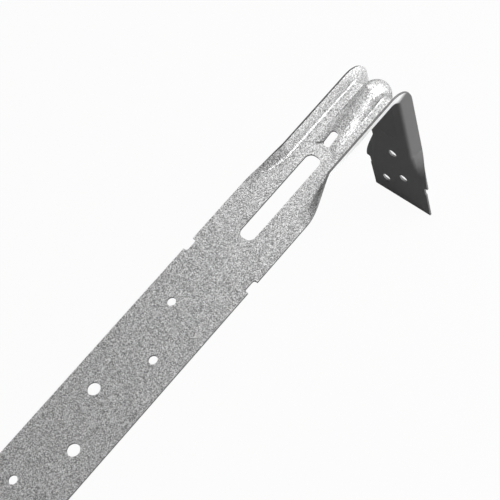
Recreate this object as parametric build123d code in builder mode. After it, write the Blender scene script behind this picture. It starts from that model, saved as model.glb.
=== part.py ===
# Restraint strap: one strip of galvanised steel, punched, pressed and bent to a right angle.
# X runs across the strap. The long leg lies along -Y and the short leg hangs down along -Z,
# with its outer face in the plane Y = 0. The origin is the nail hole on the short leg's centre line.
import os
from math import asin, atan2, cos, degrees, hypot, radians, sin, tan

from build123d import *

# Strip and bend, in millimetres
sheet = 1.0
half_width = 19.0
long_leg = 650.0
short_leg = 100.0
bend_radius = 6.0
origin_drop = 56.5

# Folded edges: they stand on the outer faces, lean outwards and run round the bend
root_x = 11.0
root_radius = 1.2
fold_angle = 74.0
edge_height = 6.5
edge_reach = 50.0

# Fade of the folded edges into the flat strip: its fold line runs outwards, and at two steps
# along its length, counted from the flat strip, the fold has a share of its full height
fade_reach = 74.0
fade_root_x = 14.5
fade_end = 0.002
fade_low_along = 0.21
fade_low = 0.08
fade_middle_along = 0.6
fade_middle = 0.54

# Pressed rib: it rises to the bend from a fish-tail nose, and runs out down the short leg
rib_foot = 6.5
rib_radius = 1.0
rib_height = 5.4
rib_nose_height = 0.35
rib_end_height = 0.05
rib_reach = 39.0
nose_half = 4.3
nose_depth = 4.3

# End tab of the short leg
tab_half = 17.5

# Punched slots, placed by their distance from the outside corner
long_slot_at = 69.5
long_slot_length = 50.0
long_slot_width = 8.2
long_slot_corner = 3.2
rib_slot_at = 34.2
rib_slot_length = 8.0
rib_slot_width = 4.1
rib_slot_corner = 1.5

# Notches in both edges
notch_length = 6.2
notch_depth = 2.0
notch_corner = 1.1
long_notch_at = 110.5
short_notch_at = fade_reach + notch_length / 2 - 0.5

# Nail and screw holes: a staggered row on the long leg, and three holes on the short leg
pitch = 25.0
stagger = 6.0
first_hole_at = 136.0
last_hole_margin = 20.0
group = 4
small_hole = 4.2
large_hole = 6.0
leg_hole = 4.8
side_hole_x = 3.7
side_hole_drop = 20.0
low_hole_x = -8.5
low_hole_drop = 30.0

# Worked out
through = 4 * (sheet + rib_height)
root_tangent = root_radius * tan(radians(fold_angle) / 2)
bend_axis = Axis((0, -bend_radius, origin_drop - bend_radius), (-1, 0, 0))
halfway = Plane(origin=(0, 0, origin_drop), z_dir=(0, 1, -1))


def across(distance):
    """Plane across the long leg, at a distance from the outside corner, with y up."""
    return Plane(origin=(0, -distance, origin_drop), x_dir=(1, 0, 0), z_dir=(0, -1, 0))


def profile(fold, length, fold_x=root_x, height=0):
    """Closed section across the strap: both folded edges and, where it has a height, the rib."""
    turn = radians(fold)
    radius = root_tangent / tan(turn / 2)
    root = (fold_x - root_tangent, radius)
    tip = (fold_x + length * cos(turn), length * sin(turn))
    tip_under = (tip[0] + sheet * sin(turn), tip[1] - sheet * cos(turn))
    with BuildSketch() as section:
        with BuildLine():
            top = CenterArc(root, radius, -90, fold)
            under = CenterArc(root, radius + sheet, -90, fold)
            Polyline(top @ 1, tip, tip_under, under @ 1)
            if height:
                span = (rib_foot**2 + height**2) / (2 * height)
                lean = degrees(asin(rib_foot / span))
                for depth in (0, sheet):
                    crest = span - rib_radius - depth
                    CenterArc((0, height - span + rib_radius), crest, 90 - lean, lean)
                    CenterArc((rib_foot, rib_radius), rib_radius + depth, 270 - lean, lean)
                    Line((rib_foot, -depth), (root[0], -depth))
            else:
                Line((0, 0), (root[0], 0))
                Line((0, -sheet), (root[0], -sheet))
            Line((0, height), (0, height - sheet))
        make_face()
        mirror(about=Plane.YZ)
    return section.sketch


def ribbed(height):
    """Section with full folded edges and a rib of that height."""
    return profile(fold_angle, edge_height, height=height)


def fade(along, share):
    """Section of the fade, part of the way along it, with the fold at a share of its height."""
    full_tip_x = root_x + edge_height * cos(radians(fold_angle))
    tip_x = half_width + share * (full_tip_x - half_width)
    up = share * edge_height * sin(radians(fold_angle))
    fold_x = fade_root_x + along * (root_x - fade_root_x)
    return profile(degrees(atan2(up, tip_x - fold_x)), hypot(up, tip_x - fold_x), fold_x)


with BuildPart() as strap:
    # Folded edges of the long leg: they fade in from the flat strip, then run on at full height
    steps = ((0, fade_end), (fade_low_along, fade_low), (fade_middle_along, fade_middle), (1, 1))
    for along, share in steps:
        with BuildSketch(across(fade_reach - along * (fade_reach - edge_reach))):
            add(fade(along, share))
    loft()
    with BuildSketch(across(edge_reach)):
        add(profile(fold_angle, edge_height))
    extrude(amount=rib_reach - edge_reach)
    # The short leg has the same
    mirror(about=halfway)
    # Rib rising along the long leg, with its fish-tail nose cut back to the flat sheet
    with BuildSketch(across(rib_reach)):
        add(ribbed(rib_nose_height))
    with BuildSketch(across(bend_radius)):
        add(ribbed(rib_height))
    loft(ruled=True)
    with BuildSketch(Plane.XY.offset(origin_drop)) as nose:
        with BuildLine():
            tail = (0, nose_depth - rib_reach)
            Polyline((-nose_half, -rib_reach), tail, (nose_half, -rib_reach), close=True)
        make_face()
    extrude(amount=through, both=True, mode=Mode.SUBTRACT)
    extrude(nose.sketch, amount=-sheet)
    # Rib running out down the short leg
    with BuildSketch(Plane.XY.offset(origin_drop - rib_reach)):
        add(ribbed(rib_end_height))
    with BuildSketch(Plane.XY.offset(origin_drop - bend_radius)):
        add(ribbed(rib_height))
    loft(ruled=True)
    # Edges and rib carried round the bend
    with BuildSketch(across(bend_radius)):
        add(ribbed(rib_height))
    revolve(axis=bend_axis, revolution_arc=90)
    # Flat strip of the long leg
    with BuildSketch(Plane.XY.offset(origin_drop)):
        with Locations((0, -(long_leg + fade_reach) / 2)):
            Rectangle(2 * half_width, long_leg - fade_reach)
    extrude(amount=-sheet)
    # Flat strip and narrower end tab of the short leg
    with BuildSketch(Plane.XZ):
        with Locations((0, origin_drop - (fade_reach + short_notch_at) / 2)):
            Rectangle(2 * half_width, short_notch_at - fade_reach)
        with Locations((0, origin_drop - (short_leg + short_notch_at) / 2)):
            Rectangle(2 * tab_half, short_leg - short_notch_at)
    extrude(amount=sheet)
    # Slots and notches of the long leg
    with BuildSketch(Plane.XY.offset(origin_drop)):
        with Locations((0, -long_slot_at)):
            RectangleRounded(long_slot_width, long_slot_length, long_slot_corner)
        with Locations((0, -rib_slot_at)):
            RectangleRounded(rib_slot_width, rib_slot_length, rib_slot_corner)
        with Locations((-half_width, -long_notch_at), (half_width, -long_notch_at)):
            RectangleRounded(2 * notch_depth, notch_length, notch_corner)
    extrude(amount=through, both=True, mode=Mode.SUBTRACT)
    # Staggered holes of the long leg, small and large in pairs
    with BuildSketch(Plane.XY.offset(origin_drop)):
        at = first_hole_at
        number = 0
        while at < long_leg - last_hole_margin:
            size = small_hole if number % group < group / 2 else large_hole
            with Locations((stagger if number % 2 else -stagger, -at)):
                Circle(size / 2)
            at += pitch
            number += 1
    extrude(amount=-2 * sheet, mode=Mode.SUBTRACT)
    # Notches and holes of the short leg
    with BuildSketch(Plane.XZ):
        short_notch_z = origin_drop - short_notch_at
        with Locations((-half_width, short_notch_z), (half_width, short_notch_z)):
            RectangleRounded(2 * notch_depth, notch_length, notch_corner)
        with Locations((0, 0), (side_hole_x, -side_hole_drop), (low_hole_x, -low_hole_drop)):
            Circle(leg_hole / 2)
    extrude(amount=2 * sheet, mode=Mode.SUBTRACT)

strap.part.label = "strap"
os.makedirs("parts", exist_ok=True)
export_step(strap.part, "parts/strap.step")
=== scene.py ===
from math import pi

import bmesh
import bpy
from mathutils import Matrix, Vector


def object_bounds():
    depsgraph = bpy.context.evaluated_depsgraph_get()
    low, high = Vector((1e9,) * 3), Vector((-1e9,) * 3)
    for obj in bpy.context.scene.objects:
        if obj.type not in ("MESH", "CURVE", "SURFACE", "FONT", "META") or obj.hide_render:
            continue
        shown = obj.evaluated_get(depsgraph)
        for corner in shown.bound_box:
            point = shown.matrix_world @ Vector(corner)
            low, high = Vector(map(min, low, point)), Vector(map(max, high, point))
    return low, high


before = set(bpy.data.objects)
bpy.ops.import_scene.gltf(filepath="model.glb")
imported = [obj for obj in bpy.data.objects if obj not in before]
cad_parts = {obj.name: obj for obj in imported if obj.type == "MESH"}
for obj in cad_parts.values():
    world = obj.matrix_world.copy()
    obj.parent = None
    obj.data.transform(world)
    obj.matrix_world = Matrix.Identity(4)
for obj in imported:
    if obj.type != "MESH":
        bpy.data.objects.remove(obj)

cad_low, cad_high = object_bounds()


# Outer side of the strip
# The strap is one strip of hot-dip galvanised steel. On its outer side the zinc froze in a fine
# spangle: small crystals, each a little lighter or darker than the next and tilted its own way.
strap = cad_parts["strap"]
spangle_metal = 0.8
spangle_gloss = 0.2
grazing_tint = (0, 0, 0, 1)
crystals_per_metre = 2700
darkest, lightest = 0.22, 1.00
smoothest, roughest = 0.42, 0.55
crystal_tilt = 0.12


def laid_on(tree, pattern, per_metre):
    """Pattern that lies on the strap itself, with that many of its cells to the metre."""
    place = tree.nodes.new("ShaderNodeTexCoord")
    cells = tree.nodes.new(pattern)
    cells.inputs["Scale"].default_value = per_metre
    tree.links.new(place.outputs["Object"], cells.inputs["Vector"])
    return cells


def spread(share, low, high, socket):
    """Lead a share of 0 to 1 to a socket of the shader, spread from low to high."""
    tree = socket.id_data
    span = tree.nodes.new("ShaderNodeMapRange")
    span.inputs["To Min"].default_value = low
    span.inputs["To Max"].default_value = high
    tree.links.new(share, span.inputs["Value"])
    tree.links.new(span.outputs["Result"], socket)
    return span


spangle = bpy.data.materials.new("spangled_zinc")
spangle.use_nodes = True
tree = spangle.node_tree
zinc = tree.nodes["Principled BSDF"]
zinc.inputs["Metallic"].default_value = spangle_metal
zinc.inputs["Specular IOR Level"].default_value = spangle_gloss
zinc.inputs["Specular Tint"].default_value = grazing_tint

crystals = laid_on(tree, "ShaderNodeTexVoronoi", crystals_per_metre)
crystal = tree.nodes.new("ShaderNodeSeparateColor")
tree.links.new(crystals.outputs["Color"], crystal.inputs["Color"])
spread(crystal.outputs["Red"], darkest, lightest, zinc.inputs["Base Color"])
spread(crystal.outputs["Green"], smoothest, roughest, zinc.inputs["Roughness"])

# Each crystal's own random colour, centred on zero, is added to the sheet's normal as its tilt
lean = tree.nodes.new("ShaderNodeVectorMath")
lean.operation = "MULTIPLY_ADD"
lean.inputs[1].default_value = (crystal_tilt,) * 3
lean.inputs[2].default_value = (-crystal_tilt / 2,) * 3
tree.links.new(crystals.outputs["Color"], lean.inputs[0])
sheet_face = tree.nodes.new("ShaderNodeNewGeometry")
tilted = tree.nodes.new("ShaderNodeVectorMath")
tilted.operation = "ADD"
tree.links.new(sheet_face.outputs["Normal"], tilted.inputs[0])
tree.links.new(lean.outputs["Vector"], tilted.inputs[1])
crystal_face = tree.nodes.new("ShaderNodeVectorMath")
crystal_face.operation = "NORMALIZE"
tree.links.new(tilted.outputs["Vector"], crystal_face.inputs[0])
tree.links.new(crystal_face.outputs["Vector"], zinc.inputs["Normal"])


# Inner side of the strip
# The other side ran over the rollers, so its zinc is smooth, without crystals. It is bright under
# the long leg. From the bend on, down the short leg, it is painted a dark dull grey: painted
# shade.
smooth_gloss = 0
# The dull tone and metal are painted shade on the short leg's inner side; the bright ones are the
# zinc's own
painted_shade_tone, bright_tone = 0.165, 0.95
painted_shade_metal, bright_metal = 0.05, 0.8
corner_height = 0.0565
change_half = 0.0025
clouds_per_metre = 90
least_worn, most_worn = 0.32, 0.52

smooth_and_shaded = bpy.data.materials.new("smooth_zinc_and_painted_shade")
smooth_and_shaded.use_nodes = True
tree = smooth_and_shaded.node_tree
zinc = tree.nodes["Principled BSDF"]
zinc.inputs["Specular IOR Level"].default_value = smooth_gloss

# Height plus distance out along the long leg: corner_height at the outside corner of the bend,
# more along the long leg and less down the short leg
place = tree.nodes.new("ShaderNodeTexCoord")
parts = tree.nodes.new("ShaderNodeSeparateXYZ")
tree.links.new(place.outputs["Object"], parts.inputs["Vector"])
round_bend = tree.nodes.new("ShaderNodeMath")
round_bend.operation = "SUBTRACT"
tree.links.new(parts.outputs["Z"], round_bend.inputs[0])
tree.links.new(parts.outputs["Y"], round_bend.inputs[1])
# Painted shade: past the bend the inner side takes the dark, nearly non-metallic tone; under the
# long leg it keeps the bright zinc
for socket, shaded, bright in (
    ("Base Color", painted_shade_tone, bright_tone),
    ("Metallic", painted_shade_metal, bright_metal),
):
    change = spread(round_bend.outputs["Value"], shaded, bright, zinc.inputs[socket])
    change.inputs["From Min"].default_value = corner_height - change_half
    change.inputs["From Max"].default_value = corner_height + change_half

clouds = laid_on(tree, "ShaderNodeTexNoise", clouds_per_metre)
spread(clouds.outputs["Fac"], least_worn, most_worn, zinc.inputs["Roughness"])


# Sheared edges
# The strip was slit, cropped and punched after it was galvanised, so its edges and the walls of
# its holes are bare steel, torn to a grain by the punch, and darker than the zinc. Their
# near-black tone is partly painted shade, kept dark where the lamps would light them.
bare_metal = 0.5
bare_roughness = 0.6
grains_per_metre = 1200
# This near-black range is darker bare steel plus painted shade
grain_and_shade_low, grain_and_shade_high = 0.06, 0.20

bare = bpy.data.materials.new("sheared_steel")
bare.use_nodes = True
tree = bare.node_tree
steel = tree.nodes["Principled BSDF"]
steel.inputs["Metallic"].default_value = bare_metal
steel.inputs["Roughness"].default_value = bare_roughness
grain = laid_on(tree, "ShaderNodeTexNoise", grains_per_metre)
spread(grain.outputs["Fac"], grain_and_shade_low, grain_and_shade_high, steel.inputs["Base Color"])

# In a copy of the mesh, corners that neighbouring facets hold twice are merged, so that each side
# of the sheet can be followed round its folds, up to an edge that turns by sharp_corner radians
nearly_level = 0.9
sharp_corner = 0.8
corners_merge = 1e-7
shape = bmesh.new()
shape.from_mesh(strap.data)
facet_number = shape.faces.layers.int.new("facet_number")
for facet in shape.faces:
    facet[facet_number] = facet.index
bmesh.ops.remove_doubles(shape, verts=shape.verts, dist=corners_merge)
shape.normal_update()


def rolled_side(up):
    """Facets of the sheet's side that faces up, 1, or down, -1: all that its round folds join."""
    flat = [facet for facet in shape.faces if facet.normal.z * up > nearly_level]
    waiting = [max(flat, key=lambda facet: facet.calc_area())]
    found = set(waiting)
    while waiting:
        for edge in waiting.pop().edges:
            if edge.calc_face_angle(sharp_corner) < sharp_corner:
                fresh = [facet for facet in edge.link_faces if facet not in found]
                found.update(fresh)
                waiting.extend(fresh)
    return {facet[facet_number] for facet in found}


outer_side = rolled_side(1)
inner_side = rolled_side(-1)
shape.free()
finishes = (spangle, smooth_and_shaded, bare)
strap.data.materials.clear()
for finish in finishes:
    strap.data.materials.append(finish)
for facet in strap.data.polygons:
    finish = bare
    if facet.index in inner_side:
        finish = smooth_and_shaded
    if facet.index in outer_side:
        finish = spangle
    facet.material_index = finishes.index(finish)


# Floor
# A plain white table under the short leg's end. The camera and the metal see it white, with a
# faint share of the light and shade that fall on it.
floor_reach = 30.0
floor_height = cad_low[2]
floor_grey = 0.35
white_share = 0.96

corners = [
    (x * floor_reach, y * floor_reach, floor_height)
    for x, y in ((-1, -1), (1, -1), (1, 1), (-1, 1))
]
table = bpy.data.meshes.new("table")
table.from_pydata(corners, [], [(0, 1, 2, 3)])
floor = bpy.data.objects.new("floor", table)
bpy.context.scene.collection.objects.link(floor)

white = bpy.data.materials.new("white_table")
white.use_nodes = True
tree = white.node_tree
tree.nodes.clear()
sight = tree.nodes.new("ShaderNodeLightPath")
seen = sight.outputs["Is Camera Ray"]
for ray in ("Is Glossy Ray", "Is Transmission Ray"):
    either = tree.nodes.new("ShaderNodeMath")
    either.operation = "MAXIMUM"
    tree.links.new(seen, either.inputs[0])
    tree.links.new(sight.outputs[ray], either.inputs[1])
    seen = either.outputs["Value"]
share = tree.nodes.new("ShaderNodeMath")
share.operation = "MULTIPLY"
share.inputs[1].default_value = white_share
tree.links.new(seen, share.inputs[0])
paint = tree.nodes.new("ShaderNodeBsdfDiffuse")
paint.inputs["Color"].default_value = (floor_grey, floor_grey, floor_grey, 1)
glow = tree.nodes.new("ShaderNodeEmission")
blend = tree.nodes.new("ShaderNodeMixShader")
tree.links.new(share.outputs["Value"], blend.inputs["Fac"])
tree.links.new(paint.outputs["BSDF"], blend.inputs[1])
tree.links.new(glow.outputs["Emission"], blend.inputs[2])
surface = tree.nodes.new("ShaderNodeOutputMaterial")
tree.links.new(blend.outputs["Shader"], surface.inputs["Surface"])
table.materials.append(white)


# Lights
# Soft boxes stand behind the bend and to its right, low enough to leave the inside of the short
# leg in shade. One hangs over the near end of the long leg.
lit_point = Vector((0, -0.05, 0.04))
room_level = 0.14

for name, towards, distance, width, height, level in (
    ("key", (0.43, 0.62, 0.66), 0.58, 0.4, 0.4, 7.4),
    ("side", (0.87, 0.48, 0.12), 0.65, 0.4, 0.3, 9.4),
    ("sheen", (-0.46, 0.59, 0.67), 0.70, 0.4, 0.4, 2.7),
    ("back", (-0.33, 0.92, 0.21), 0.80, 0.5, 0.3, 1.0),
    ("near_end", (-0.24, -0.26, 0.46), 0.60, 0.4, 0.4, 0.4),
):
    lamp = bpy.data.lights.new(name, "AREA")
    lamp.shape = "RECTANGLE"
    lamp.size, lamp.size_y = width, height
    lamp.energy = level * width * height * pi
    softbox = bpy.data.objects.new(name, lamp)
    softbox.location = lit_point + Vector(towards).normalized() * distance
    softbox.rotation_euler = (-Vector(towards)).to_track_quat("-Z", "Y").to_euler()
    bpy.context.scene.collection.objects.link(softbox)

room = bpy.data.worlds.new("room")
bpy.context.scene.world = room
room.use_nodes = True
air = room.node_tree.nodes["Background"]
air.inputs["Color"].default_value = (1, 1, 1, 1)
air.inputs["Strength"].default_value = room_level
bpy.context.scene.view_settings.view_transform = "Standard"


# Camera
# The strap is seen from above, from the right of its long leg, with the short leg hanging down
# at the far end. A long lens stands about 0.7 m away.
film_width = 36
focal_length = 104.68
camera_place = Vector((0.290329, -0.250537, 0.595858))
camera_right = Vector((0.73873, 0.64142, -0.20701))
camera_up = Vector((-0.4999, 0.72744, 0.47004))
camera_back = Vector((0.45208, -0.24374, 0.85803))

lens = bpy.data.cameras.new("camera")
lens.sensor_width = film_width
lens.lens = focal_length
camera = bpy.data.objects.new("camera", lens)
turned = Matrix((camera_right, camera_up, camera_back)).transposed().to_4x4()
camera.matrix_world = Matrix.Translation(camera_place) @ turned
bpy.context.scene.collection.objects.link(camera)
bpy.context.scene.camera = camera
